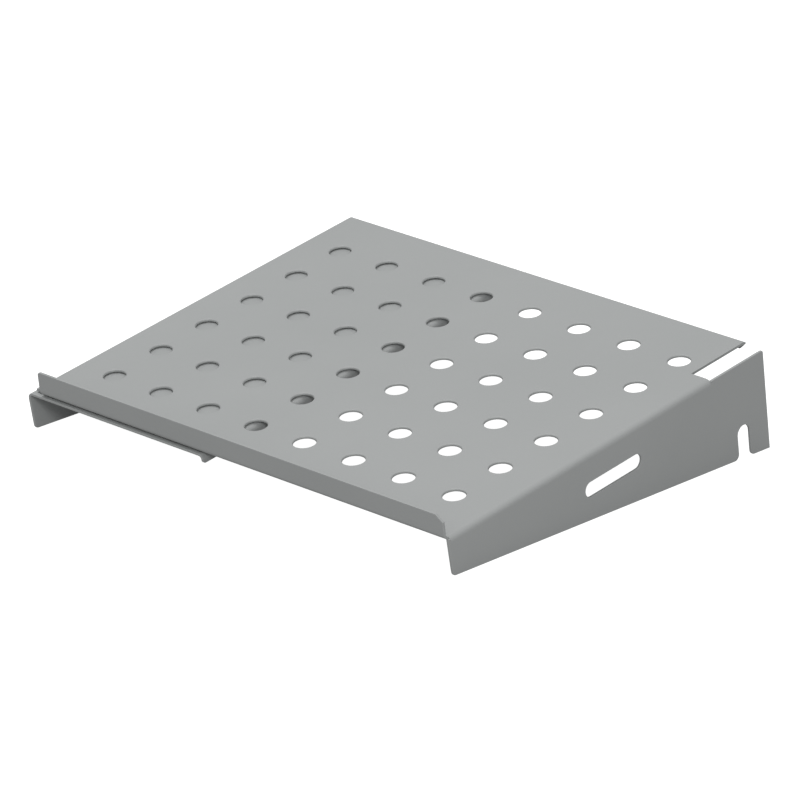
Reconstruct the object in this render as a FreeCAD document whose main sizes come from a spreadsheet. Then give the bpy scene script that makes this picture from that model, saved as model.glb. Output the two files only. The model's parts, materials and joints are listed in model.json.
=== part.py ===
import FreeCAD, Part
import math
import os
import Sketcher
from FreeCAD import Placement, Rotation, Vector

# Hook-on perforated work shelf, made of two pressed sheet-steel trays that overlap.
# The upper tray carries the deck, the front lip and the right side flange.  The lower
# tray slides sideways beneath it on clamp screws and carries the left side flange.
#
# Every sub-part is drawn in the deck frame: X along the width, Y from the lip to the
# rear, Z square to the deck, zero at the middle of the deck's top face.  At the end the
# shelf is stood on the lower edges of its side flanges, which makes the deck slope.

# Driving dimensions in millimetres: alias, value, what it is.
DRIVING_DIMENSIONS = [
    ("overall_width", 432.0, "between the outer faces of the side flanges, closed"),
    ("deck_depth", 356.0, "lip face to rear flange face"),
    ("sheet_thickness", 2.0, "both trays"),
    ("inner_bend_radius", 2.5, "inside radius of every press-brake bend"),
    ("tray_gap", 1.0, "between the trays, kept open by the flanges of the weld studs"),
    ("deck_left_inset", 5.5, "left flange face to the cut edge of the upper deck"),
    ("hole_pitch", 50.0, "perforation pitch both ways"),
    ("hole_columns", 8.0, "perforations across the width"),
    ("hole_rows", 6.0, "perforations from front to rear"),
    ("hole_diameter", 17.5, "deck perforation"),
    ("lip_height", 18.0, "top of the lip above the deck"),
    ("lip_left_inset", 14.0, "left flange face to the lip's left end"),
    ("lip_right_inset", 2.0, "right flange face to the lip's right end"),
    ("lip_corner_radius", 2.5, "top left corner of the lip"),
    ("lip_cut_width", 7.0, "slanted cut at the lip's top right corner"),
    ("lip_cut_height", 5.0, "slanted cut at the lip's top right corner"),
    ("rear_flange_height", 8.0, "rear flange below the deck's top face"),
    ("rear_flange_cut", 6.0, "slanted cut at each end of the rear flange"),
    ("notch_width", 19.5, "rear corner notch, from the flange face inwards"),
    ("notch_front", 113.5, "front end of the rear corner notches"),
    ("flange_front_setback", 1.7, "lip face to the top of the right flange's front edge"),
    ("lower_front_setback", 0.2, "lip face to the front edge of the lower tray"),
    ("flange_front_lean", 1.6, "how far the front edge of a side flange leans back at its foot"),
    ("flange_front_depth", 30.9, "tray top to the line of a side flange's foot, at the lip face"),
    ("flange_rear_depth", 84.2, "tray top to the same line, at the rear flange face"),
    ("flange_toe_radius", 3.5, "rounded front foot of a side flange"),
    ("flange_rear_setback", 4.8, "rear flange face to the rear edge of a side flange"),
    ("free_edge_drop", 1.1, "tray top face to the flange's free edge behind the notch"),
    ("free_edge_radius", 1.5, "upper rear corner of a side flange"),
    ("corner_lap", 0.2, "how far the right flange's tongue is closed into the lip's bend"),
    ("corner_drop", 0.8, "deck top to the front end of that tongue"),
    ("hook_slot_centre", 145.0, "centre line of the hook slots"),
    ("hook_slot_width", 13.5, "hook slot"),
    ("hook_slot_roof", 52.0, "tray top to the closed end of a hook slot"),
    ("hook_mouth_radius", 4.5, "rounded mouth of a hook slot"),
    ("side_slot_length", 62.0, "end to end of the long slot in a side flange"),
    ("side_slot_width", 12.0, "long slot in a side flange"),
    ("side_slot_drop", 29.0, "tray top to the centre line of the long slot"),
    ("stiffener_face", 186.5, "left flange face to the outer face of the stiffener"),
    ("stiffener_depth", 10.5, "deck top to the edge of the lower tray's stiffener"),
    ("stiffener_toe_radius", 3.0, "rounded ends of the stiffener"),
    ("lower_rear_setback", 5.0, "rear flange face to the lower tray's rear edge"),
    ("travel", 80.0, "how far the lower tray slides out"),
    ("screw_spacing", 60.0, "between the two clamp screws in one slot"),
    ("screw_first", 25.0, "left flange face to the first screw, closed"),
    ("screw_row", 100.0, "distance of each slot from the deck's middle"),
    ("screw_diameter", 6.0, "M6 weld stud under the deck"),
    ("screw_length", 15.0, "stud below the deck's underside"),
    ("screw_end_chamfer", 0.8, "stud end"),
    ("stud_flange_diameter", 7.5, "weld flange of the stud, wider than its slot"),
    ("stud_flange_thickness", 0.8, "weld flange of the stud"),
    ("slot_clearance", 0.35, "stud to the side of its slot"),
    ("washer_gap", 0.2, "lower tray to the clamp washers"),
    ("washer_diameter", 18.0, "wide M6 washer"),
    ("washer_bore", 6.4, "wide M6 washer"),
    ("washer_thickness", 1.6, "wide M6 washer"),
    ("spring_diameter", 11.1, "M6 spring washer"),
    ("spring_bore", 6.2, "M6 spring washer"),
    ("spring_thickness", 1.6, "M6 spring washer, pressed flat"),
    ("spring_split", 0.6, "cut in the spring washer"),
    ("nut_across_flats", 10.0, "M6 hexagon nut"),
    ("nut_height", 5.0, "M6 hexagon nut"),
    ("nut_bore", 6.1, "M6 hexagon nut, clear of the stud's crest"),
]

# Cuts run this far past the faces they open.
OVERCUT = 5.0

# Two lengths closer than this are the same.
TOLERANCE = 0.01

# Diameter of a nut's round bearing face over its width across flats.
NUT_FACE_RATIO = 0.95

document = FreeCAD.newDocument("HookOnShelf")


class Size:
    """A length known both as a number and as the spreadsheet expression behind it."""

    def __init__(self, number, text):
        self.number = number
        self.text = text

    @staticmethod
    def of(value):
        if isinstance(value, Size):
            return value
        return Size(float(value), "(%s)" % float(value))

    def __add__(self, other):
        other = Size.of(other)
        return Size(self.number + other.number, "(%s + %s)" % (self.text, other.text))

    def __sub__(self, other):
        other = Size.of(other)
        return Size(self.number - other.number, "(%s - %s)" % (self.text, other.text))

    def __mul__(self, other):
        other = Size.of(other)
        return Size(self.number * other.number, "(%s * %s)" % (self.text, other.text))

    def __truediv__(self, other):
        other = Size.of(other)
        return Size(self.number / other.number, "(%s / %s)" % (self.text, other.text))

    def __neg__(self):
        return Size(-self.number, "(-1 * %s)" % self.text)


def fill_sheet():
    """Write the driving dimensions into the spreadsheet and return them by alias."""
    sheet = document.addObject("Spreadsheet::Sheet", "Sizes")
    sizes = {}
    for row, (alias, value, meaning) in enumerate(DRIVING_DIMENSIONS, start=1):
        sheet.set("A%d" % row, meaning)
        sheet.set("B%d" % row, str(value))
        sheet.setAlias("B%d" % row, alias)
        sizes[alias] = Size(value, "Sizes." + alias)
    document.recompute()
    return sizes


S = fill_sheet()
ZERO = Size.of(0.0)
THICKNESS = S["sheet_thickness"]
INNER_RADIUS = S["inner_bend_radius"]
OUTER_RADIUS = INNER_RADIUS + THICKNESS
HALF_WIDTH = S["overall_width"] / 2
HALF_DEPTH = S["deck_depth"] / 2
DECK_LEFT = -HALF_WIDTH + S["deck_left_inset"]
FLANGE_FRONT = -HALF_DEPTH + S["flange_front_setback"]
LOWER_FRONT = -HALF_DEPTH + S["lower_front_setback"]
FLANGE_REAR = HALF_DEPTH - S["flange_rear_setback"]
LIP_BEND_END = -HALF_DEPTH + OUTER_RADIUS
REAR_BEND_START = HALF_DEPTH - OUTER_RADIUS
NOTCH_X = HALF_WIDTH - S["notch_width"]
SIDE_BEND_X = HALF_WIDTH - OUTER_RADIUS
LIP_LEFT = -HALF_WIDTH + S["lip_left_inset"]
LIP_RIGHT = HALF_WIDTH - S["lip_right_inset"]
LOWER_TOP = -THICKNESS - S["tray_gap"]
LOWER_REAR = HALF_DEPTH - S["lower_rear_setback"]
LOWER_BEND_X = -HALF_WIDTH + OUTER_RADIUS
STIFFENER_BEND_X = -HALF_WIDTH + S["stiffener_face"] - OUTER_RADIUS
FIRST_SCREW_X = -HALF_WIDTH + S["screw_first"]
LAST_SCREW_X = FIRST_SCREW_X + S["screw_spacing"]
WASHER_BOTTOM = LOWER_TOP - THICKNESS - S["washer_gap"] - S["washer_thickness"]
SPRING_BOTTOM = WASHER_BOTTOM - S["spring_thickness"]


# ---------------------------------------------------------------- sketching helpers

def origin_plane(body, role):
    for feature in body.Origin.OriginFeatures:
        if feature.Role == role:
            return feature
    raise ValueError("no plane " + role)


def new_sketch(body, name, role, offset):
    """A sketch on one of the body's own origin planes, moved along the plane's normal."""
    sketch = body.newObject("Sketcher::SketchObject", name)
    sketch.AttachmentSupport = [(origin_plane(body, role), "")]
    sketch.MapMode = "FlatFace"
    sketch.AttachmentOffset = Placement(Vector(0, 0, offset.number), Rotation())
    sketch.setExpression("AttachmentOffset.Base.z", offset.text)
    return sketch


def constrain(sketch, kind, *arguments):
    """Add a constraint; a Size as its last argument is bound to the spreadsheet."""
    size = arguments[-1]
    if isinstance(size, Size):
        index = sketch.addConstraint(Sketcher.Constraint(kind, *arguments[:-1], size.number))
        sketch.setExpression("Constraints[%d]" % index, size.text)
    else:
        sketch.addConstraint(Sketcher.Constraint(kind, *arguments))


def tangent_length(before, corner, after, radius):
    """Distance from a corner to the points where an arc of this radius touches its sides."""
    angle = (before - corner).getAngle(after - corner)
    return radius / math.tan(angle / 2)


def outline(sketch, corners):
    """Closed outline through corners (x, y, radius); a radius of None is a sharp corner."""
    points = [Vector(x.number, y.number, 0) for x, y, radius in corners]
    count = len(points)
    arrivals = []
    departures = []
    for index, (x, y, radius) in enumerate(corners):
        before = points[index - 1]
        corner = points[index]
        after = points[(index + 1) % count]
        length = 0.0
        if radius is not None:
            length = tangent_length(before, corner, after, radius.number)
        arrivals.append(corner + (before - corner).normalize() * length)
        departures.append(corner + (after - corner).normalize() * length)
    lines = []
    for index in range(count):
        side = Part.LineSegment(departures[index], arrivals[(index + 1) % count])
        lines.append(sketch.addGeometry(side, False))
    for index, (x, y, radius) in enumerate(corners):
        line_in = lines[index - 1]
        line_out = lines[index]
        if radius is None:
            constrain(sketch, "Coincident", line_in, 2, line_out, 1)
            constrain(sketch, "DistanceX", line_out, 1, x)
            constrain(sketch, "DistanceY", line_out, 1, y)
            continue
        arc, arc_in, arc_out = add_corner_arc(
            sketch, arrivals[index], points[index], departures[index], radius.number)
        constrain(sketch, "Tangent", line_in, 2, arc, arc_in)
        constrain(sketch, "Tangent", arc, arc_out, line_out, 1)
        constrain(sketch, "Radius", arc, radius)
        mark = sketch.addGeometry(Part.Point(points[index]), True)
        constrain(sketch, "DistanceX", mark, 1, x)
        constrain(sketch, "DistanceY", mark, 1, y)
        constrain(sketch, "PointOnObject", mark, 1, line_in)
        constrain(sketch, "PointOnObject", mark, 1, line_out)


def add_corner_arc(sketch, start, corner, end, radius):
    """Add the arc that rounds a corner; return it with its ends in travel order."""
    to_corner = corner - start
    turn = to_corner.cross(end - corner).z
    side = Vector(-to_corner.y, to_corner.x, 0).normalize() * math.copysign(radius, turn)
    centre = start + side
    first, last = start, end
    ends = (1, 2)
    if turn < 0:
        first, last = end, start
        ends = (2, 1)
    first_angle = math.atan2(first.y - centre.y, first.x - centre.x)
    last_angle = math.atan2(last.y - centre.y, last.x - centre.x)
    circle = Part.Circle(centre, Vector(0, 0, 1), radius)
    arc = sketch.addGeometry(Part.ArcOfCircle(circle, first_angle, last_angle), False)
    return arc, ends[0], ends[1]


def long_slot(sketch, start_x, start_y, end_x, end_y, width):
    """A slot with round ends about the centre line from start to end."""
    start = Vector(start_x.number, start_y.number, 0)
    end = Vector(end_x.number, end_y.number, 0)
    radius = width.number / 2
    along = (end - start).normalize()
    across = Vector(-along.y, along.x, 0) * radius
    heading = math.atan2(along.y, along.x)
    quarter = math.pi / 2
    near = Part.ArcOfCircle(
        Part.Circle(start, Vector(0, 0, 1), radius), heading + quarter, heading + 3 * quarter)
    far = Part.ArcOfCircle(
        Part.Circle(end, Vector(0, 0, 1), radius), heading - quarter, heading + quarter)
    near_arc = sketch.addGeometry(near, False)
    far_arc = sketch.addGeometry(far, False)
    right = sketch.addGeometry(Part.LineSegment(start - across, end - across), False)
    left = sketch.addGeometry(Part.LineSegment(end + across, start + across), False)
    constrain(sketch, "Tangent", near_arc, 2, right, 1)
    constrain(sketch, "Tangent", right, 2, far_arc, 1)
    constrain(sketch, "Tangent", far_arc, 2, left, 1)
    constrain(sketch, "Tangent", left, 2, near_arc, 1)
    constrain(sketch, "Radius", near_arc, width / 2)
    for arc, x, y in ((near_arc, start_x, start_y), (far_arc, end_x, end_y)):
        constrain(sketch, "DistanceX", arc, 3, x)
        constrain(sketch, "DistanceY", arc, 3, y)


def pad(body, name, sketch, length):
    """Raise a sketch along its plane's normal."""
    feature = body.newObject("PartDesign::Pad", name)
    feature.Profile = sketch
    feature.Type = "Length"
    feature.setExpression("Length", length.text)
    document.recompute()
    body.Tip = feature
    return feature


def pocket(body, name, sketch, length):
    """Cut a sketch equally to both sides of its plane, and check that it removes metal."""
    before = body.Tip.Shape.Volume
    feature = body.newObject("PartDesign::Pocket", name)
    feature.Profile = sketch
    feature.Type = "Length"
    feature.SideType = "Symmetric"
    feature.setExpression("Length", length.text)
    document.recompute()
    body.Tip = feature
    if not feature.Shape.Volume < before:
        raise ValueError(name + " removes nothing")
    return feature


def fillet_edges(body, name, radius, wanted, count):
    """Round the edges of the tip that the test picks out, which must be this many."""
    base = body.Tip
    names = []
    for index, edge in enumerate(base.Shape.Edges, start=1):
        if wanted(edge):
            names.append("Edge%d" % index)
    if len(names) != count:
        raise ValueError("%s found %d edges" % (name, len(names)))
    feature = body.newObject("PartDesign::Fillet", name)
    feature.Base = (base, names)
    feature.setExpression("Radius", radius.text)
    document.recompute()
    body.Tip = feature
    return feature


def bend_and_leg(sketch, bend_x, bend_y, flat_side, leg_side, leg_end):
    """Profile of a quarter bend about (bend_x, bend_y) with a straight leg.

    flat_side is +1 where the tray's flat lies above the bend's centre and -1 below it;
    leg_side is +1 or -1 for a leg on the far or near side of the centre.
    """
    centre = Vector(bend_x.number, bend_y.number, 0)
    flat = Vector(0, flat_side, 0)
    out = Vector(leg_side, 0, 0)
    first_angle = math.atan2(flat_side, 0)
    last_angle = math.atan2(0, leg_side)
    flat_end, leg_join = 1, 2
    if flat_side == leg_side:
        first_angle, last_angle = last_angle, first_angle
        flat_end, leg_join = 2, 1
    if last_angle < first_angle:
        last_angle += 2 * math.pi
    arcs = []
    legs = []
    for radius in (OUTER_RADIUS, INNER_RADIUS):
        circle = Part.Circle(centre, Vector(0, 0, 1), radius.number)
        arcs.append(sketch.addGeometry(
            Part.ArcOfCircle(circle, first_angle, last_angle), False))
        join = centre + out * radius.number
        foot = Vector(join.x, leg_end.number, 0)
        legs.append(sketch.addGeometry(Part.LineSegment(join, foot), False))
    cap = sketch.addGeometry(Part.LineSegment(
        centre + flat * OUTER_RADIUS.number, centre + flat * INNER_RADIUS.number), False)
    foot = sketch.addGeometry(Part.LineSegment(
        Vector(centre.x + leg_side * OUTER_RADIUS.number, leg_end.number, 0),
        Vector(centre.x + leg_side * INNER_RADIUS.number, leg_end.number, 0)), False)
    constrain(sketch, "DistanceX", arcs[0], 3, bend_x)
    constrain(sketch, "DistanceY", arcs[0], 3, bend_y)
    constrain(sketch, "Coincident", arcs[0], 3, arcs[1], 3)
    for end, arc, leg, radius in zip((1, 2), arcs, legs, (OUTER_RADIUS, INNER_RADIUS)):
        constrain(sketch, "Radius", arc, radius)
        constrain(sketch, "Coincident", arc, flat_end, cap, end)
        constrain(sketch, "Tangent", arc, leg_join, leg, 1)
        constrain(sketch, "Vertical", leg)
        constrain(sketch, "Coincident", leg, 2, foot, end)
    constrain(sketch, "Vertical", cap)
    constrain(sketch, "DistanceX", cap, 1, bend_x)
    constrain(sketch, "Horizontal", foot)
    constrain(sketch, "DistanceY", foot, 1, leg_end)


# ---------------------------------------------------------------- features of both trays

def flat_sheet(body, name, top, corners):
    """The flat of a tray, its top face at the height top."""
    sketch = new_sketch(body, name + "Outline", "XY_Plane", top - THICKNESS)
    outline(sketch, corners)
    pad(body, name, sketch, THICKNESS)


def side_bend(body, name, bend_x, top, side, front, rear):
    """The bend that turns a tray's flat down into a side flange."""
    centre_height = top - OUTER_RADIUS
    sketch = new_sketch(body, name + "Profile", "XZ_Plane", -rear)
    bend_and_leg(sketch, bend_x, centre_height, 1, side, centre_height - THICKNESS)
    pad(body, name, sketch, rear - front)


def side_flange(body, outer_x, top, front, tongue):
    """The flat of a side flange: slanted foot, free rear edge, hook slot and long slot.

    outer_x is the sheet's face on the low-X side, top the tray's top face, front the upper
    end of the flange's front edge, and tongue the corners that close its outline there.
    """
    bend_end = top - OUTER_RADIUS
    free_edge = top - S["free_edge_drop"]
    toe = front + S["flange_front_lean"]
    sketch = new_sketch(body, "FlangeOutline", "YZ_Plane", outer_x)
    outline(sketch, tongue + [
        (toe, foot_height(top, toe), S["flange_toe_radius"]),
        (FLANGE_REAR, foot_height(top, FLANGE_REAR), None),
        (FLANGE_REAR, free_edge, S["free_edge_radius"]),
        (S["notch_front"], free_edge, None),
        (S["notch_front"], bend_end, None),
    ])
    pad(body, "Flange", sketch, THICKNESS)

    hook_y = S["hook_slot_centre"]
    hook_width = S["hook_slot_width"]
    through = THICKNESS * 2 + OVERCUT
    hook = new_sketch(body, "HookSlotOutline", "YZ_Plane", outer_x)
    long_slot(hook, hook_y, top - S["hook_slot_roof"] - hook_width / 2,
              hook_y, top - S["flange_rear_depth"] - hook_width, hook_width)
    pocket(body, "HookSlot", hook, through)

    half_run = (S["side_slot_length"] - S["side_slot_width"]) / 2
    side = new_sketch(body, "LongSlotOutline", "YZ_Plane", outer_x)
    long_slot(side, -half_run, top - S["side_slot_drop"],
              half_run, top - S["side_slot_drop"], S["side_slot_width"])
    pocket(body, "LongSlot", side, through)

    low = foot_height(top, hook_y).number

    def at_mouth(edge):
        centre = edge.CenterOfMass
        beside_slot = abs(abs(centre.y - hook_y.number) - hook_width.number / 2) < TOLERANCE
        near_foot = abs(centre.z - low) < hook_width.number / 2
        return beside_slot and near_foot and runs_through_sheet(edge)

    fillet_edges(body, "HookMouth", S["hook_mouth_radius"], at_mouth, 2)


def foot_slope():
    """Fall of a side flange's straight foot for each millimetre towards the rear."""
    return (S["flange_rear_depth"] - S["flange_front_depth"]) / S["deck_depth"]


def foot_height(top, y):
    """Height of a side flange's straight foot at the distance y."""
    return top - S["flange_front_depth"] - foot_slope() * (y + HALF_DEPTH)


def runs_through_sheet(edge):
    """True for a short edge that crosses the sheet from face to face."""
    return abs(edge.Length - THICKNESS.number) < TOLERANCE


# ---------------------------------------------------------------- the two trays

def build_upper_tray():
    """Perforated deck with the front lip, the rear flange and the right side flange."""
    body = document.addObject("PartDesign::Body", "UpperTray")
    body.Label = "upper_tray"
    flat_sheet(body, "Deck", ZERO, [
        (DECK_LEFT, LIP_BEND_END, None),
        (SIDE_BEND_X, LIP_BEND_END, None),
        (SIDE_BEND_X, S["notch_front"], None),
        (NOTCH_X, S["notch_front"], None),
        (NOTCH_X, REAR_BEND_START, None),
        (DECK_LEFT, REAR_BEND_START, None),
    ])

    lip = new_sketch(body, "LipProfile", "YZ_Plane", LIP_LEFT)
    bend_and_leg(lip, LIP_BEND_END, INNER_RADIUS, -1, -1, S["lip_height"])
    pad(body, "Lip", lip, LIP_RIGHT - LIP_LEFT)

    rear = new_sketch(body, "RearFlangeProfile", "YZ_Plane", DECK_LEFT)
    bend_and_leg(rear, REAR_BEND_START, -OUTER_RADIUS, 1, 1, -S["rear_flange_height"])
    pad(body, "RearFlange", rear, NOTCH_X - DECK_LEFT)

    side_bend(body, "SideBend", SIDE_BEND_X, ZERO, 1, LIP_BEND_END, S["notch_front"])
    side_flange(body, HALF_WIDTH - THICKNESS, ZERO, FLANGE_FRONT, [
        (LIP_BEND_END, -OUTER_RADIUS, None),
        (LIP_BEND_END, S["corner_lap"] - THICKNESS, None),
        (FLANGE_FRONT, -S["corner_drop"], None),
    ])

    cut_lip_corner(body)
    cut_rear_flange_ends(body)
    perforate(body)
    return body


def cut_lip_corner(body):
    """Slanted cut at the lip's top right corner and a small radius at its top left one."""
    top = S["lip_height"]
    sketch = new_sketch(body, "LipCutOutline", "XZ_Plane", HALF_DEPTH)
    outline(sketch, [
        (LIP_RIGHT - S["lip_cut_width"], top, None),
        (LIP_RIGHT, top - S["lip_cut_height"], None),
        (LIP_RIGHT + OVERCUT, top - S["lip_cut_height"], None),
        (LIP_RIGHT + OVERCUT, top + OVERCUT, None),
        (LIP_RIGHT - S["lip_cut_width"], top + OVERCUT, None),
    ])
    pocket(body, "LipCut", sketch, THICKNESS * 2 + OVERCUT)

    def at_top_left(edge):
        centre = edge.CenterOfMass
        at_end = abs(centre.x - LIP_LEFT.number) < TOLERANCE
        return at_end and abs(centre.z - top.number) < TOLERANCE and runs_through_sheet(edge)

    fillet_edges(body, "LipCorner", S["lip_corner_radius"], at_top_left, 1)


def cut_rear_flange_ends(body):
    """Slanted cuts at the two ends of the rear flange, below the bend."""
    foot = -S["rear_flange_height"]
    cut = S["rear_flange_cut"]
    for name, end_x, outward in (("LeftRearCut", DECK_LEFT, -1), ("RightRearCut", NOTCH_X, 1)):
        sketch = new_sketch(body, name + "Outline", "XZ_Plane", -HALF_DEPTH)
        outline(sketch, [
            (end_x - cut * outward, foot, None),
            (end_x, foot + cut, None),
            (end_x + OVERCUT * outward, foot + cut, None),
            (end_x + OVERCUT * outward, foot - OVERCUT, None),
            (end_x - cut * outward, foot - OVERCUT, None),
        ])
        pocket(body, name, sketch, THICKNESS * 2 + OVERCUT)


def perforate(body):
    """Round holes on a square grid about the middle of the deck."""
    pitch = S["hole_pitch"]
    first_x = -pitch * (S["hole_columns"] - 1) / 2
    first_y = -pitch * (S["hole_rows"] - 1) / 2
    sketch = new_sketch(body, "HoleOutline", "XY_Plane", ZERO)
    centre = Vector(first_x.number, first_y.number, 0)
    radius = S["hole_diameter"] / 2
    circle = sketch.addGeometry(Part.Circle(centre, Vector(0, 0, 1), radius.number), False)
    constrain(sketch, "DistanceX", circle, 3, first_x)
    constrain(sketch, "DistanceY", circle, 3, first_y)
    constrain(sketch, "Radius", circle, radius)
    hole = pocket(body, "Hole", sketch, THICKNESS * 2 + OVERCUT)

    solid_volume = hole.BaseFeature.Shape.Volume
    one_hole = solid_volume - hole.Shape.Volume
    pattern = body.newObject("PartDesign::LinearPattern", "HoleGrid")
    pattern.Originals = [hole]
    pattern.Direction = (sketch, ["H_Axis"])
    pattern.Direction2 = (sketch, ["V_Axis"])
    pattern.Mode = "Extent"
    pattern.Mode2 = "Extent"
    pattern.setExpression("Length", (first_x * -2).text)
    pattern.setExpression("Length2", (first_y * -2).text)
    pattern.setExpression("Occurrences", S["hole_columns"].text)
    pattern.setExpression("Occurrences2", S["hole_rows"].text)
    document.recompute()
    body.Tip = pattern
    removed = solid_volume - pattern.Shape.Volume
    holes = S["hole_columns"].number * S["hole_rows"].number
    if abs(removed / one_hole - holes) > TOLERANCE:
        raise ValueError("the hole grid is incomplete")


def build_lower_tray():
    """Plain sliding tray with the left side flange, the stiffener and the screw slots."""
    body = document.addObject("PartDesign::Body", "LowerTray")
    body.Label = "lower_tray"
    flat_sheet(body, "Plate", LOWER_TOP, [
        (LOWER_BEND_X, LOWER_FRONT, None),
        (STIFFENER_BEND_X, LOWER_FRONT, None),
        (STIFFENER_BEND_X, LOWER_REAR, None),
        (-NOTCH_X, LOWER_REAR, None),
        (-NOTCH_X, S["notch_front"], None),
        (LOWER_BEND_X, S["notch_front"], None),
    ])
    side_bend(body, "SideBend", LOWER_BEND_X, LOWER_TOP, -1, LOWER_FRONT, S["notch_front"])
    side_flange(body, -HALF_WIDTH, LOWER_TOP, LOWER_FRONT, [
        (LOWER_FRONT, LOWER_TOP - OUTER_RADIUS, None),
        (LOWER_FRONT, LOWER_TOP - OUTER_RADIUS - THICKNESS, None),
    ])

    foot = -S["stiffener_depth"]
    stiffener = new_sketch(body, "StiffenerProfile", "XZ_Plane", -LOWER_REAR)
    bend_and_leg(stiffener, STIFFENER_BEND_X, LOWER_TOP - OUTER_RADIUS, 1, 1, foot)
    pad(body, "Stiffener", stiffener, LOWER_REAR - LOWER_FRONT)

    def at_stiffener_toe(edge):
        centre = edge.CenterOfMass
        beyond_bend = centre.x > STIFFENER_BEND_X.number
        return beyond_bend and abs(centre.z - foot.number) < TOLERANCE and runs_through_sheet(edge)

    fillet_edges(body, "StiffenerToe", S["stiffener_toe_radius"], at_stiffener_toe, 2)

    slot_width = S["screw_diameter"] + S["slot_clearance"] * 2
    for name, row in (("FrontScrewSlot", -S["screw_row"]), ("RearScrewSlot", S["screw_row"])):
        sketch = new_sketch(body, name + "Outline", "XY_Plane", LOWER_TOP)
        long_slot(sketch, FIRST_SCREW_X, row, LAST_SCREW_X + S["travel"], row, slot_width)
        pocket(body, name, sketch, THICKNESS * 2 + OVERCUT)
    return body


# ---------------------------------------------------------------- clamp hardware

def primitive(kind, name, sizes, height=ZERO):
    """A Part primitive on the screw's axis, standing at the given height."""
    shape = document.addObject("Part::" + kind, name)
    for key, size in sizes.items():
        shape.setExpression(key, size.text)
    shape.Placement = Placement(Vector(0, 0, height.number), Rotation())
    shape.setExpression("Placement.Base.z", height.text)
    return shape


def boolean(kind, name, base, tool):
    """A Part boolean of two shapes."""
    result = document.addObject("Part::" + kind, name)
    result.Base = base
    result.Tool = tool
    return result


def ring(name, outer, bore, bottom, height):
    """A flat ring about the screw's axis."""
    disc = primitive("Cylinder", name + "Disc", {"Radius": outer / 2, "Height": height}, bottom)
    hole = primitive("Cylinder", name + "Bore", {"Radius": bore / 2, "Height": height}, bottom)
    return boolean("Cut", name, disc, hole)


def build_stud(index):
    """Weld stud under the deck, with its weld flange and a chamfered end."""
    radius = S["screw_diameter"] / 2
    chamfer = S["screw_end_chamfer"]
    end = -THICKNESS - S["screw_length"]
    shank = primitive("Cylinder", "StudShank%d" % index,
                      {"Radius": radius, "Height": S["screw_length"] - chamfer}, end + chamfer)
    tip = primitive("Cone", "StudTip%d" % index,
                    {"Radius1": radius - chamfer, "Radius2": radius, "Height": chamfer}, end)
    flange = primitive("Cylinder", "StudFlange%d" % index, {
        "Radius": S["stud_flange_diameter"] / 2,
        "Height": S["stud_flange_thickness"]}, -THICKNESS - S["stud_flange_thickness"])
    threaded = boolean("Fuse", "ThreadedStud%d" % index, shank, tip)
    return boolean("Fuse", "Stud%d" % index, threaded, flange)


def build_washer(index):
    """Wide washer that spans the slot under the lower tray."""
    return ring("Washer%d" % index, S["washer_diameter"], S["washer_bore"],
                WASHER_BOTTOM, S["washer_thickness"])


def build_spring_washer(index):
    """Split spring washer, pressed flat."""
    height = S["spring_thickness"]
    bottom = SPRING_BOTTOM
    split_ring = ring("SpringRing%d" % index, S["spring_diameter"], S["spring_bore"],
                      bottom, height)
    cut = primitive("Box", "SpringSplit%d" % index, {
        "Length": S["spring_split"], "Width": S["spring_diameter"], "Height": height}, bottom)
    cut.setExpression("Placement.Base.x", (-S["spring_split"] / 2).text)
    return boolean("Cut", "SpringWasher%d" % index, split_ring, cut)


def build_nut(index):
    """Hexagon nut with its corners chamfered at both ends."""
    height = S["nut_height"]
    bottom = SPRING_BOTTOM - height
    flats = S["nut_across_flats"]
    corner_radius = flats / 2 / math.cos(math.radians(30))
    hexagon = primitive("Prism", "NutHexagon%d" % index,
                        {"Circumradius": corner_radius, "Height": height}, bottom)
    hexagon.Polygon = 6
    face_radius = flats * NUT_FACE_RATIO / 2
    wide_radius = face_radius + height * math.tan(math.radians(60))
    lower = primitive("Cone", "NutLowerCone%d" % index,
                      {"Radius1": face_radius, "Radius2": wide_radius, "Height": height}, bottom)
    upper = primitive("Cone", "NutUpperCone%d" % index,
                      {"Radius1": wide_radius, "Radius2": face_radius, "Height": height}, bottom)
    blank = boolean("Common", "NutBlank%d" % index, hexagon, lower)
    turned = boolean("Common", "NutTurned%d" % index, blank, upper)
    bore = primitive("Cylinder", "NutBore%d" % index,
                     {"Radius": S["nut_bore"] / 2, "Height": height}, bottom)
    return boolean("Cut", "Nut%d" % index, turned, bore)


def build_clamps():
    """Four clamp screws, two to each slot: stud, washer, spring washer and nut."""
    pieces = []
    builders = (
        ("clamp_stud", build_stud),
        ("clamp_washer", build_washer),
        ("spring_washer", build_spring_washer),
        ("clamp_nut", build_nut),
    )
    places = [(x, y) for y in (-S["screw_row"], S["screw_row"])
              for x in (FIRST_SCREW_X, LAST_SCREW_X)]
    for index, (x, y) in enumerate(places, start=1):
        for label, builder in builders:
            piece = builder(index)
            piece.Label = "%s_%d" % (label, index)
            piece.Placement = Placement(Vector(x.number, y.number, 0), Rotation())
            pieces.append(piece)
    return pieces


# ---------------------------------------------------------------- standing and writing

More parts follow.
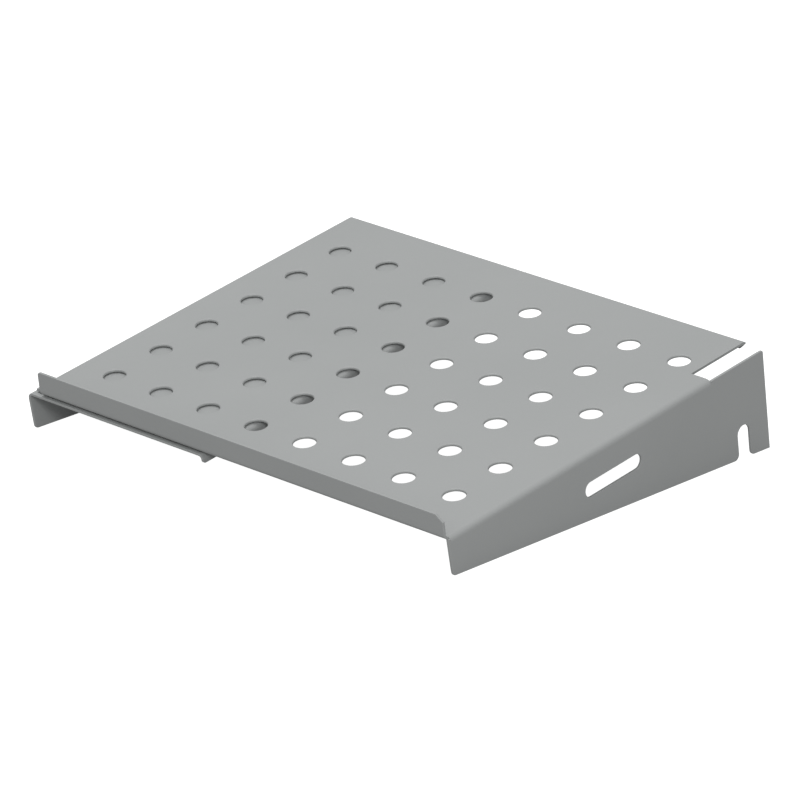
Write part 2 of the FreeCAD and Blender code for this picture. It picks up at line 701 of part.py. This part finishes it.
def stand(pieces):
    """Turn the shelf onto its four feet and centre its footprint on the origin.

    The left flange hangs from the lower tray, so its feet are lower than the right ones and
    lift the left side.
    """
    pitch = math.degrees(math.atan(foot_slope().number))
    rise = -LOWER_TOP.number / (S["overall_width"] - THICKNESS).number
    roll = math.degrees(math.atan(rise * math.cos(math.radians(pitch))))
    turn = Rotation(Vector(0, 1, 0), roll).multiply(Rotation(Vector(1, 0, 0), pitch))
    tilt = Placement(Vector(), turn)
    box = FreeCAD.BoundBox()
    for piece in pieces:
        piece.Placement = tilt.multiply(piece.Placement)
        box.add(piece.Shape.optimalBoundingBox(False, False))
    shift = Placement(Vector(-box.Center.x, -box.Center.y, -box.ZMin), Rotation())
    for piece in pieces:
        piece.Placement = shift.multiply(piece.Placement)
    document.recompute()


def check(pieces):
    """Stop if any feature failed or any piece is not one valid solid."""
    for feature in document.Objects:
        if "Invalid" in feature.State or "Error" in feature.State:
            raise ValueError("%s failed to compute" % feature.Label)
    for piece in pieces:
        shape = piece.Shape
        if shape.isNull() or not shape.isValid() or len(shape.Solids) != 1:
            raise ValueError("%s is not one valid solid" % piece.Label)


def main():
    pieces = [build_upper_tray(), build_lower_tray()] + build_clamps()
    document.recompute()
    stand(pieces)
    check(pieces)
    os.makedirs("parts", exist_ok=True)
    for piece in pieces:
        piece.Shape.exportStep(os.path.join("parts", piece.Label + ".step"))
        print("%-18s %10.1f mm3" % (piece.Label, piece.Shape.Volume))


main()
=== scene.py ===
import json
import math

import bmesh
import bpy
from mathutils import Matrix, Vector


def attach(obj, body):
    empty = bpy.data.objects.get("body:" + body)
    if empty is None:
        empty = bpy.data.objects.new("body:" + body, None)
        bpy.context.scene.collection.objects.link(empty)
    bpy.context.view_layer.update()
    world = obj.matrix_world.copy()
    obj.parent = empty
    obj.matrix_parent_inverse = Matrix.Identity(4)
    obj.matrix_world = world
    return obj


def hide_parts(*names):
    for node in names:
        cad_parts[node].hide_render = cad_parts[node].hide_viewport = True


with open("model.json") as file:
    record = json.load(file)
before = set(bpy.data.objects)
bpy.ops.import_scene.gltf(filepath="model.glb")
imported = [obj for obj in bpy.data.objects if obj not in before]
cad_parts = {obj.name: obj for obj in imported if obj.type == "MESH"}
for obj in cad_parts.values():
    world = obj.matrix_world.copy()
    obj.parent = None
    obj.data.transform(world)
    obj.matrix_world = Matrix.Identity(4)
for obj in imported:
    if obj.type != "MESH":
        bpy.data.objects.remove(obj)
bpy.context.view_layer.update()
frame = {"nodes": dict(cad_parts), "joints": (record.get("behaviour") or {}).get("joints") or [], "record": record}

MM = 0.001

# ---------------------------------------------------------------- camera

CAMERA_TARGET = Vector((3.9, -0.9, 33.0)) * MM
CAMERA_AZIMUTH = math.radians(43.107)
CAMERA_ELEVATION = math.radians(20.668)
CAMERA_ROLL = math.radians(0.141)
CAMERA_DISTANCE = 4543.3 * MM
CAMERA_LENS = 271.34
CAMERA_SENSOR = 36.0
CAMERA_NEAR = 0.1
CAMERA_FAR = 50.0

# ---------------------------------------------------------------- sizes

SHEET = 2.0 * MM
BEND_RADIUS = 2.5 * MM
EDGE_RADIUS = 0.3 * MM
EDGE_SEGMENTS = 2
RIM_RADIUS = 1.2 * MM
RIM_SEGMENTS = 5
RIM_MARGIN = 0.3 * MM
WASHER_CORNER = 0.12 * MM
SPRING_WASHER_CORNER = 0.1 * MM
NUT_CORNER = 0.12 * MM

THREAD_RADIUS = 3.0 * MM
THREAD_PITCH = 1.0 * MM
THREAD_DEPTH = 0.61 * MM
THREAD_STEPS = 28
THREAD_RINGS_PER_TURN = 8
THREAD_ROOT_SHARE = 0.2
THREAD_FLANK_SHARE = 0.65
STUD_FLANGE_HEIGHT = 0.8 * MM
STUD_CHAMFER = 0.8 * MM
CLAMPS = 4

# ---------------------------------------------------------------- limits for mesh work

SHARP_ANGLE = math.radians(35)
TURNED_SHARP_ANGLE = math.radians(25)
WELD_DISTANCE = 0.002 * MM
FLAT_ANGLE = math.radians(0.3)
ROUND_TOLERANCE = 0.02 * MM
FEWEST_HOLE_CORNERS = 12
NEAR_PLANE = 0.35 * MM
LEVEL = 0.9999
SQUARE_TO_AXIS = 0.99999
FLAT_AREA = 5.0 * MM * MM
FLAT_LENGTH = 4.0 * MM

# ---------------------------------------------------------------- finishes

NOISE_LOW = 0.3
NOISE_HIGH = 0.7

PAINT_TONES = ((0.366, 0.379, 0.377), (0.380, 0.392, 0.390))
# Lighter tone for random specks, and on rounded edges for worn paint plus a painted edge highlight.
SPECK_AND_EDGE_HIGHLIGHT_TONE = (0.50, 0.515, 0.51)
PAINT_ROUGHNESS = (0.38, 0.47)
PAINT_IOR = 1.46
MOTTLING_SCALE = 9.0
SPECK_SCALE = 2600.0
SPECK_RANGE = (0.62, 0.72)
SPECK_STRENGTH = 0.22
# Noise and width of the lighter rounded edges: partly worn, thinner paint, partly a painted highlight.
EDGE_WEAR_AND_HIGHLIGHT_SCALE = 160.0
EDGE_WEAR_AND_HIGHLIGHT_RANGE = (0.35, 0.7)
EDGE_WEAR_AND_HIGHLIGHT_STRENGTH = (0.15, 0.6)
EDGE_WEAR_AND_HIGHLIGHT_WIDTH = 0.5 * MM
FLAT_DOT = 0.995
EDGE_DOT = 0.8
GLOSS_SCALE = 14.0
GRAIN_SCALE = 1900.0
GRAIN_HEIGHT = 0.010 * MM
PEEL_SCALE = 420.0
PEEL_HEIGHT = 0.035 * MM

ZINC_TONES = ((0.50, 0.52, 0.54), (0.66, 0.67, 0.68))
ZINC_ROUGHNESS = (0.26, 0.42)
CLOUD_SCALE = 260.0
SCRATCH_SCALE = 1500.0
TURNING_SCALE = 3000.0
TURNING_HEIGHT = 0.006 * MM

# ---------------------------------------------------------------- light

SOFTBOX_SIZE = 1.4
SOFTBOX_PLACE = Vector((-0.9, -0.1, 2.9))
SOFTBOX_POWER = 33.0
FILL_SIZE = 1.0
FILL_PLACE = Vector((2.7, -2.6, 2.3))
FILL_POWER = 55.0
ROOM_LIGHT = 0.5
BACKDROP_WHITE = 1.0
WHITE = (1.0, 1.0, 1.0, 1.0)
FLOOR_HALF = 8.0
FLOOR_ALBEDO = 0.3
FLOOR_MOTTLING = 0.01
FLOOR_SCALE = 3.0
FLOOR_ROUGHNESS = 0.9
FLOOR_GLOW = 1.0
FLOOR_FILL = 0.1


# ---------------------------------------------------------------- frame of the deck

def deck_frame():
    """From deck axes to the row frame: X to the right, Z out of the deck's top face."""
    deck = next(m for m in frame["record"]["mounts"] if m["name"] == "deck_face")
    slide = next(j for j in frame["joints"] if j["name"] == "width_slide")
    up = Vector(deck["axis"]).normalized()
    right = -Vector(slide["axis"])
    right = (right - up * right.dot(up)).normalized()
    rear = up.cross(right)
    turn = Matrix((right, rear, up)).transposed().to_4x4()
    return Matrix.Translation(deck["pos_m"]) @ turn


DECK = deck_frame()
TO_DECK = DECK.inverted()


def node_in_deck_axes(name):
    """Lowest and highest corner of a CAD node, measured along the deck's axes."""
    points = [TO_DECK @ v.co for v in frame["nodes"][name].data.vertices]
    low = Vector([min(p[i] for p in points) for i in range(3)])
    high = Vector([max(p[i] for p in points) for i in range(3)])
    return low, high


# ---------------------------------------------------------------- material helpers

def new_material(name):
    material = bpy.data.materials.new(name)
    material.use_nodes = True
    nodes = material.node_tree.nodes
    return material, nodes, material.node_tree.links, nodes["Principled BSDF"]


def noise(nodes, links, coordinates, scale, detail=3.0, roughness=0.55):
    node = nodes.new("ShaderNodeTexNoise")
    node.inputs["Scale"].default_value = scale
    node.inputs["Detail"].default_value = detail
    node.inputs["Roughness"].default_value = roughness
    links.new(coordinates, node.inputs["Vector"])
    return node.outputs["Fac"]


def remap(nodes, links, value, from_low, from_high, to_low, to_high):
    node = nodes.new("ShaderNodeMapRange")
    for socket, number in (("From Min", from_low), ("From Max", from_high),
                           ("To Min", to_low), ("To Max", to_high)):
        node.inputs[socket].default_value = number
    links.new(value, node.inputs["Value"])
    return node.outputs["Result"]


def mix_colours(nodes, links, factor, first, second):
    """A Mix node between two colours; each is a tuple or another node's output."""
    node = nodes.new("ShaderNodeMix")
    node.data_type = "RGBA"
    links.new(factor, node.inputs["Factor"])
    for socket, colour in ((node.inputs[6], first), (node.inputs[7], second)):
        if isinstance(colour, tuple):
            socket.default_value = (*colour, 1.0)
        else:
            links.new(colour, socket)
    return node.outputs[2]


def bump(nodes, links, height, distance, normal=None):
    node = nodes.new("ShaderNodeBump")
    node.inputs["Strength"].default_value = 1.0
    node.inputs["Distance"].default_value = distance
    links.new(height, node.inputs["Height"])
    if normal is not None:
        links.new(normal, node.inputs["Normal"])
    return node.outputs["Normal"]


def object_coordinates(nodes):
    return nodes.new("ShaderNodeTexCoord").outputs["Object"]


def blotches(nodes, links, coordinates, scale, detail, to_low, to_high):
    """Noise stretched so that it covers the range from to_low to to_high."""
    value = noise(nodes, links, coordinates, scale, detail)
    return remap(nodes, links, value, NOISE_LOW, NOISE_HIGH, to_low, to_high)


def edge_mask(nodes, links, radius):
    """1 on a rounded edge and 0 on a flat: how far a rounded normal leaves the true one."""
    rounded = nodes.new("ShaderNodeBevel")
    rounded.samples = 6
    rounded.inputs["Radius"].default_value = radius
    flat = nodes.new("ShaderNodeNewGeometry")
    dot = nodes.new("ShaderNodeVectorMath")
    dot.operation = "DOT_PRODUCT"
    links.new(rounded.outputs["Normal"], dot.inputs[0])
    links.new(flat.outputs["True Normal"], dot.inputs[1])
    return remap(nodes, links, dot.outputs["Value"], FLAT_DOT, EDGE_DOT, 0.0, 1.0)


# ---------------------------------------------------------------- materials

def powder_coat():
    """Satin grey powder coat: faint mottling, orange peel, and lighter rounded edges, partly thinner worn paint
    and partly a painted highlight.
    """
    material, nodes, links, shader = new_material("grey_powder_coat")
    where = object_coordinates(nodes)
    mottling = blotches(nodes, links, where, MOTTLING_SCALE, 4.0, 0.0, 1.0)
    tone = mix_colours(nodes, links, mottling, *PAINT_TONES)
    specks = noise(nodes, links, where, SPECK_SCALE, 1.0)
    speck = remap(nodes, links, specks, *SPECK_RANGE, 0.0, SPECK_STRENGTH)
    tone = mix_colours(nodes, links, speck, tone, SPECK_AND_EDGE_HIGHLIGHT_TONE)
    # Rounded edges painted lighter: partly worn, thinner paint, partly a painted highlight, broken up by noise.
    wear_and_highlight_noise = noise(nodes, links, where, EDGE_WEAR_AND_HIGHLIGHT_SCALE, 4.0)
    wear_and_highlight_amount = remap(nodes, links, wear_and_highlight_noise, *EDGE_WEAR_AND_HIGHLIGHT_RANGE, *EDGE_WEAR_AND_HIGHLIGHT_STRENGTH)
    edge_wear_and_highlight = nodes.new("ShaderNodeMath")
    edge_wear_and_highlight.operation = "MULTIPLY"
    links.new(edge_mask(nodes, links, EDGE_WEAR_AND_HIGHLIGHT_WIDTH), edge_wear_and_highlight.inputs[0])
    links.new(wear_and_highlight_amount, edge_wear_and_highlight.inputs[1])
    tone = mix_colours(nodes, links, edge_wear_and_highlight.outputs[0], tone, SPECK_AND_EDGE_HIGHLIGHT_TONE)
    links.new(tone, shader.inputs["Base Color"])

    gloss = blotches(nodes, links, where, GLOSS_SCALE, 5.0, *PAINT_ROUGHNESS)
    links.new(gloss, shader.inputs["Roughness"])
    shader.inputs["IOR"].default_value = PAINT_IOR

    grain = bump(nodes, links, noise(nodes, links, where, GRAIN_SCALE, 2.0), GRAIN_HEIGHT)
    peel = bump(nodes, links, noise(nodes, links, where, PEEL_SCALE, 1.0), PEEL_HEIGHT, grain)
    links.new(peel, shader.inputs["Normal"])
    return material


def zinc_plate():
    """Bright zinc plate: cloudy passivation, fine turning marks and patches of dulled gloss."""
    material, nodes, links, shader = new_material("bright_zinc")
    where = object_coordinates(nodes)
    cloud = blotches(nodes, links, where, CLOUD_SCALE, 4.0, 0.0, 1.0)
    links.new(mix_colours(nodes, links, cloud, *ZINC_TONES), shader.inputs["Base Color"])
    shader.inputs["Metallic"].default_value = 1.0
    gloss = blotches(nodes, links, where, SCRATCH_SCALE, 3.0, *ZINC_ROUGHNESS)
    links.new(gloss, shader.inputs["Roughness"])
    turning = bump(nodes, links, noise(nodes, links, where, TURNING_SCALE, 2.0), TURNING_HEIGHT)
    links.new(turning, shader.inputs["Normal"])
    return material


def studio_floor():
    """Plain white floor that stays white in the object's shade."""
    material, nodes, links, shader = new_material("white_floor")
    mottling = blotches(nodes, links, object_coordinates(nodes), FLOOR_SCALE, 2.0, 0.0, 1.0)
    darker = (FLOOR_ALBEDO - FLOOR_MOTTLING,) * 3
    lighter = (FLOOR_ALBEDO + FLOOR_MOTTLING,) * 3
    tone = mix_colours(nodes, links, mottling, darker, lighter)
    links.new(tone, shader.inputs["Base Color"])
    shader.inputs["Roughness"].default_value = FLOOR_ROUGHNESS
    shader.inputs["Specular IOR Level"].default_value = 0.0
    shader.inputs["Emission Color"].default_value = WHITE
    seen = nodes.new("ShaderNodeLightPath").outputs["Is Camera Ray"]
    glow = remap(nodes, links, seen, 0.0, 1.0, FLOOR_FILL, FLOOR_GLOW)
    links.new(glow, shader.inputs["Emission Strength"])
    return material


# ---------------------------------------------------------------- clean copies and edges

def joins_flat(edge):
    """True if the two faces at an edge are parts of one plane."""
    if len(edge.link_faces) != 2:
        return False
    larger = max(edge.link_faces, key=lambda face: face.calc_area())
    foot = edge.verts[0].co
    points = [v.co for face in edge.link_faces for v in face.verts]
    return max(abs((p - foot).dot(larger.normal)) for p in points) < WELD_DISTANCE


def clean_copy(node):
    """The node's mesh in deck axes with its seams joined and its flats made whole."""
    mesh = bmesh.new()
    mesh.from_mesh(frame["nodes"][node].data)
    mesh.transform(TO_DECK)
    bmesh.ops.remove_doubles(mesh, verts=mesh.verts, dist=WELD_DISTANCE)
    mesh.normal_update()
    flat_joints = [e for e in mesh.edges if joins_flat(e)]
    bmesh.ops.dissolve_limit(mesh, angle_limit=FLAT_ANGLE, verts=mesh.verts, edges=flat_joints,
                             use_dissolve_boundaries=False)
    return mesh


def is_sharp(edge, angle=SHARP_ANGLE):
    return len(edge.link_faces) == 2 and edge.calc_face_angle(0.0) > angle


def outer_edges(mesh, angle=SHARP_ANGLE):
    """The sharp edges that a finger would feel: not the inner corners, nor what meets them."""
    sharp = [e for e in mesh.edges if is_sharp(e, angle)]
    inner = {v for e in sharp if not e.is_convex for v in e.verts}
    return [e for e in sharp if e.is_convex and not inner.intersection(e.verts)]


def round_edges(mesh, edges, radius):
    bmesh.ops.bevel(mesh, geom=edges, offset=radius, offset_type="OFFSET",
                    segments=EDGE_SEGMENTS, profile=0.5, affect="EDGES",
                    clamp_overlap=False, loop_slide=True)


def open_edges(mesh):
    """How many edges lack one of their two faces, or have more: 0 for a closed mesh."""
    return sum(len(e.link_faces) != 2 for e in mesh.edges)


def try_change(mesh, node, change):
    """The changed mesh, or the old one if the change opened it or left the node's box."""
    low, high = node_in_deck_axes(node)
    trial = mesh.copy()
    change(trial)
    closed = open_edges(trial) <= open_edges(mesh)
    inside = all(low[i] - WELD_DISTANCE < v.co[i] < high[i] + WELD_DISTANCE
                 for v in trial.verts for i in range(3))
    if closed and inside:
        mesh.free()
        return trial
    print("dropped a change to %s: closed %s, inside its box %s" % (node, closed, inside))
    trial.free()
    return mesh


# ---------------------------------------------------------------- flats and hole rims

def on_plane(item, place, axis=2):
    """True for an edge or face close to a plane square to one of the deck's axes."""
    return all(abs(v.co[axis] - place) < NEAR_PLANE for v in item.verts)


def is_level(face, place, axis=2):
    """True for a face that lies in such a plane, but not for a bend's first facet."""
    return abs(face.normal[axis]) > LEVEL and on_plane(face, place, axis)


def outlines(edges):
    """The outlines that a set of edges forms, each as a list of corners in order."""
    at_corner = {}
    for edge in edges:
        for corner in edge.verts:
            at_corner.setdefault(corner, []).append(edge)
    left = set(edges)
    loops = []
    for first in edges:
        if first not in left:
            continue
        left.remove(first)
        start, corner = first.verts
        loop = [start]
        while corner != start:
            loop.append(corner)
            edge = next((e for e in at_corner[corner] if e in left), None)
            if edge is None:
                break
            left.remove(edge)
            corner = edge.other_vert(corner)
        loops.append(loop)
    return loops


def loop_edges(mesh, loop):
    edges = [mesh.edges.get(pair) for pair in zip(loop, loop[1:] + loop[:1])]
    return [edge for edge in edges if edge is not None]


def hole_centre(loop):
    """Centre of an outline that is a round perforation, or None for any other outline."""
    centre = sum((v.co for v in loop), Vector()) / len(loop)
    spans = [(v.co - centre).length for v in loop]
    is_round = len(loop) > FEWEST_HOLE_CORNERS and max(spans) - min(spans) < ROUND_TOLERANCE
    return centre if is_round else None


def rim_edges(mesh, height):
    """Edges of the perforations' rims in the plane Z = height."""
    outline = [e for e in mesh.edges
               if on_plane(e, height) and sum(is_level(f, height) for f in e.link_faces) == 1]
    return [e for loop in outlines(outline) if hole_centre(loop) for e in loop_edges(mesh, loop)]


def roll_rim(mesh, loop, centre, up, radius):
    """Round a perforation's rim and return the edges where it meets the flat."""
    flat = [v.co.copy() for v in loop]
    outward = [(place - centre).normalized() for place in flat]
    profile = []
    for step in range(1, RIM_SEGMENTS + 1):
        turn = math.pi / 2 * step / RIM_SEGMENTS
        profile.append((radius * (1 - math.cos(turn)), radius * (1 - math.sin(turn))))
    profile.append((radius + RIM_MARGIN, 0.0))
    for corner in loop:
        corner.co.z -= up * radius
    inner = loop
    for reach, drop in profile:
        sink = Vector((0, 0, -up * drop))
        outer = [mesh.verts.new(place + reach * out + sink)
                 for place, out in zip(flat, outward)]
        for step in range(len(loop)):
            mesh.faces.new((inner[step - 1], inner[step], outer[step], outer[step - 1]))
        inner = outer
    return loop_edges(mesh, inner)


def renew_flat(mesh, place, up, axis=2, rim_radius=EDGE_RADIUS):
    """Remake the faces in one plane as clean triangles, with rolled rims at perforations."""
    mesh.normal_update()
    flat = [f for f in mesh.faces if is_level(f, place, axis)]
    bmesh.ops.delete(mesh, geom=flat, context="FACES")
    border = []
    for loop in outlines([e for e in mesh.edges if e.is_boundary and on_plane(e, place, axis)]):
        for corner in loop:
            corner.co[axis] = place
        centre = hole_centre(loop)
        if centre:
            border += roll_rim(mesh, loop, centre, up, rim_radius)
        else:
            border += loop_edges(mesh, loop)
    normal = Vector((0, 0, 0))
    normal[axis] = up
    bmesh.ops.triangle_fill(mesh, use_beauty=True, use_dissolve=False, edges=border,
                            normal=normal)
    bmesh.ops.recalc_face_normals(mesh, faces=mesh.faces)


# ---------------------------------------------------------------- pieces

def is_flat(face):
    """True for the large or long faces that lie square to the deck's axes."""
    square = max(abs(component) for component in face.normal) > SQUARE_TO_AXIS
    longest = max(edge.calc_length() for edge in face.edges)
    return square and (face.calc_area() > FLAT_AREA or longest > FLAT_LENGTH)


def add_piece(name, mesh, node, body, material):
    """Turn a bmesh in deck axes into a piece that stands for a CAD node."""
    mesh.normal_update()
    for face in mesh.faces:
        face.smooth = not is_flat(face)
    mesh.transform(DECK)
    data = bpy.data.meshes.new(name)
    mesh.to_mesh(data)
    mesh.free()
    data.materials.append(material)
    piece = bpy.data.objects.new(name, data)
    bpy.context.scene.collection.objects.link(piece)
    normals = piece.modifiers.new("face_weighted_normals", "WEIGHTED_NORMAL")
    normals.keep_sharp = True
    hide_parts(node)
    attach(piece, body)


# ---------------------------------------------------------------- trays

def inside_rear_bend(edge, rear_face):
    """True for the short edges on the inside of the rear bend, which stay as they are."""
    axis_y = rear_face - SHEET - BEND_RADIUS
    axis_z = -SHEET - BEND_RADIUS
    reach = [math.hypot(v.co.y - axis_y, v.co.z - axis_z) for v in edge.verts]
    past_axis = all(v.co.y > axis_y - NEAR_PLANE for v in edge.verts)
    return past_axis and max(reach) < BEND_RADIUS + NEAR_PLANE / 2


def upper_tray(material):
    """Perforated tray: rolled rims at the perforations, small radii on the other cut edges."""
    node = "upper_tray"
    high = node_in_deck_axes(node)[1]

    def round_cut_edges(mesh):
        kept = set(rim_edges(mesh, 0.0) + rim_edges(mesh, -SHEET))
        kept.update(e for e in mesh.edges if inside_rear_bend(e, high.y))
        round_edges(mesh, [e for e in outer_edges(mesh) if e not in kept], EDGE_RADIUS)

    mesh = try_change(clean_copy(node), node, round_cut_edges)
    mesh = try_change(mesh, node, lambda m: renew_flat(m, 0.0, 1, rim_radius=RIM_RADIUS))
    mesh = try_change(mesh, node, lambda m: renew_flat(m, -SHEET, -1))
    mesh = try_change(mesh, node, lambda m: renew_flat(m, high.x, 1, axis=0))
    add_piece("perforated_tray", mesh, node, "upper_body", material)


def lower_tray(material):
    """Sliding tray with a small radius on every cut edge."""
    node = "lower_tray"
    high = node_in_deck_axes(node)[1]
    mesh = try_change(clean_copy(node), node,
                      lambda m: round_edges(m, outer_edges(m), EDGE_RADIUS))
    mesh = try_change(mesh, node, lambda m: renew_flat(m, high.z, 1))
    add_piece("sliding_tray", mesh, node, "lower_body", material)


# ---------------------------------------------------------------- clamp hardware

def turned_piece(name, node, radius, material):
    """A washer or nut: the CAD shape with its corners broken."""
    mesh = clean_copy(node)
    round_edges(mesh, outer_edges(mesh, TURNED_SHARP_ANGLE), radius)
    add_piece(name, mesh, node, "upper_body", material)


def thread_radius(turn):
    """Radius of a thread whose ridge is at the whole turns; turn counts along the axis."""
    phase = turn - math.floor(turn)
    ridge = abs(phase - 0.5) * 2
    flank = min(1.0, max(0.0, (ridge - THREAD_ROOT_SHARE) / THREAD_FLANK_SHARE))
    return THREAD_RADIUS - THREAD_DEPTH * (1 - flank)


def threaded_stud(name, node, material):
    """Weld stud with a rolled M6 thread, a plain weld flange and a chamfered end."""
    low, high = node_in_deck_axes(node)
    flange_radius = (high.x - low.x) / 2
    centre = (low + high) / 2
    thread_top = high.z - STUD_FLANGE_HEIGHT
    count = round((thread_top - low.z) / THREAD_PITCH * THREAD_RINGS_PER_TURN)
    mesh = bmesh.new()
    rings = []

    def ring(height, radius_at):
        circle = []
        for step in range(THREAD_STEPS):
            angle = 2 * math.pi * step / THREAD_STEPS
            radius = radius_at(angle)
            circle.append(mesh.verts.new((centre.x + radius * math.cos(angle),
                                          centre.y + radius * math.sin(angle), height)))
        rings.append(circle)

    for index in range(count + 1):
        height = low.z + (thread_top - low.z) * index / count
        room = THREAD_RADIUS - max(0.0, STUD_CHAMFER - (height - low.z))

        def radius_at(angle, height=height, room=room):
            turn = (height - low.z) / THREAD_PITCH - angle / (2 * math.pi)
            return min(room, thread_radius(turn))

        ring(height, radius_at)
    ring(thread_top, lambda angle: flange_radius)
    ring(high.z, lambda angle: flange_radius)
    for lower, upper in zip(rings, rings[1:]):
        for step in range(THREAD_STEPS):
            after = (step + 1) % THREAD_STEPS
            mesh.faces.new((lower[step], lower[after], upper[after], upper[step]))
    mesh.faces.new(list(reversed(rings[0])))
    mesh.faces.new(rings[-1])
    add_piece(name, mesh, node, "upper_body", material)


def clamp_set(index, material):
    """Stud, wide washer, spring washer and nut of one clamp screw."""
    threaded_stud("threaded_stud_%d" % index, "clamp_stud_%d" % index, material)
    for name, node, corner in (("wide_washer", "clamp_washer", WASHER_CORNER),
                               ("split_washer", "spring_washer", SPRING_WASHER_CORNER),
                               ("hexagon_nut", "clamp_nut", NUT_CORNER)):
        turned_piece("%s_%d" % (name, index), "%s_%d" % (node, index), corner, material)


# ---------------------------------------------------------------- studio

def camera():
    """Camera at the photograph's angle and distance."""
    back = Vector((math.sin(CAMERA_AZIMUTH) * math.cos(CAMERA_ELEVATION),
                   -math.cos(CAMERA_AZIMUTH) * math.cos(CAMERA_ELEVATION),
                   math.sin(CAMERA_ELEVATION)))
    data = bpy.data.cameras.new("camera")
    data.sensor_width = CAMERA_SENSOR
    data.lens = CAMERA_LENS
    data.clip_start = CAMERA_NEAR
    data.clip_end = CAMERA_FAR
    item = bpy.data.objects.new("camera", data)
    bpy.context.scene.collection.objects.link(item)
    aim = (-back).to_track_quat("-Z", "Y").to_matrix().to_4x4()
    place = Matrix.Translation(CAMERA_TARGET + back * CAMERA_DISTANCE)
    item.matrix_world = place @ aim @ Matrix.Rotation(CAMERA_ROLL, 4, "Z")
    bpy.context.scene.camera = item


def softbox(name, place, size, power):
    """Square area light aimed at the object."""
    data = bpy.data.lights.new(name, "AREA")
    data.size = size
    data.energy = power
    lamp = bpy.data.objects.new(name, data)
    bpy.context.scene.collection.objects.link(lamp)
    aim = (CAMERA_TARGET - place).to_track_quat("-Z", "Y").to_matrix().to_4x4()
    lamp.matrix_world = Matrix.Translation(place) @ aim


def floor(material):
    corners = [Vector((x, y, 0.0)) * FLOOR_HALF for x, y in ((-1, -1), (1, -1), (1, 1), (-1, 1))]
    data = bpy.data.meshes.new("studio_floor")
    data.from_pydata(corners, [], [(0, 1, 2, 3)])
    data.materials.append(material)
    plane = bpy.data.objects.new("studio_floor", data)
    bpy.context.scene.collection.objects.link(plane)


def room():
    """Dim light from all round, with a white backdrop behind the object."""
    world = bpy.data.worlds.new("room")
    world.use_nodes = True
    nodes = world.node_tree.nodes
    links = world.node_tree.links
    dim = nodes["Background"]
    dim.inputs["Color"].default_value = WHITE
    dim.inputs["Strength"].default_value = ROOM_LIGHT
    white = nodes.new("ShaderNodeBackground")
    white.inputs["Strength"].default_value = BACKDROP_WHITE
    white.inputs["Color"].default_value = WHITE
    path = nodes.new("ShaderNodeLightPath")
    mix = nodes.new("ShaderNodeMixShader")
    links.new(path.outputs["Is Camera Ray"], mix.inputs[0])
    links.new(dim.outputs[0], mix.inputs[1])
    links.new(white.outputs[0], mix.inputs[2])
    links.new(mix.outputs[0], nodes["World Output"].inputs["Surface"])
    bpy.context.scene.world = world


def main():
    camera()
    paint = powder_coat()
    zinc = zinc_plate()
    upper_tray(paint)
    lower_tray(paint)
    for index in range(1, CLAMPS + 1):
        clamp_set(index, zinc)
    floor(studio_floor())
    softbox("overhead_softbox", SOFTBOX_PLACE, SOFTBOX_SIZE, SOFTBOX_POWER)
    softbox("front_fill", FILL_PLACE, FILL_SIZE, FILL_POWER)
    room()
    bpy.context.scene.view_settings.view_transform = "Standard"


main()
